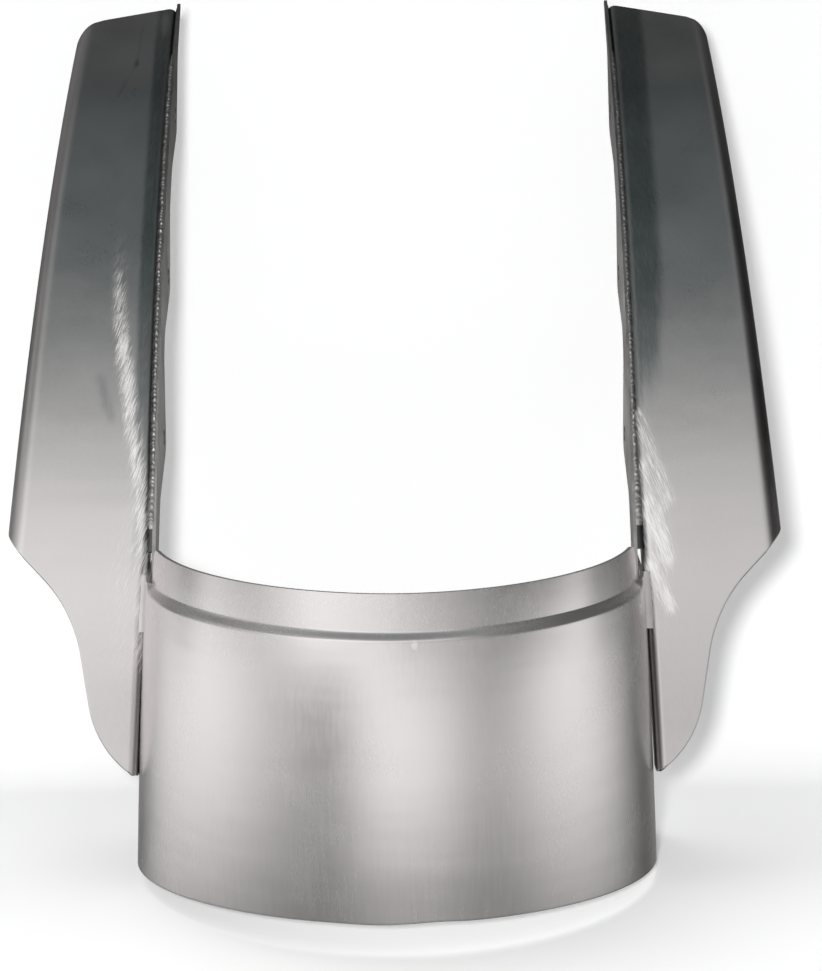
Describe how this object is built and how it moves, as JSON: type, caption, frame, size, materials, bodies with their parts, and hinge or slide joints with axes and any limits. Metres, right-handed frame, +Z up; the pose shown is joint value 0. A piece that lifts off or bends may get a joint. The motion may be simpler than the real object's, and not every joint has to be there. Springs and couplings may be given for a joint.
{
  "type": "rear fender extension",
  "caption": "Welded sheet-steel rear fender extension: curved centre shell with a recessed lip, two tall side panels, and slim flanges with bolt tabs.",
  "frame": {"origin": "bottom centre of the bounding box", "axes": "+X to the right of the motorcycle, +Y towards its front, +Z up"},
  "size_m": [0.319, 0.3422, 0.3385],
  "materials": {
    "bare_steel": "bare sheet steel with a light vertical grain, grinding scratches and oily smears",
    "weld_metal": "rough weld bead, partly ground"
  },
  "bodies": {
    "root": {"centre_shell": "bare_steel", "left_side_panel": "bare_steel", "right_side_panel": "bare_steel", "left_mounting_flange": "bare_steel", "right_mounting_flange": "bare_steel", "left_seam_weld": "weld_metal", "right_seam_weld": "weld_metal", "left_side_weld": "weld_metal", "right_side_weld": "weld_metal"}
  },
  "joints": []
}
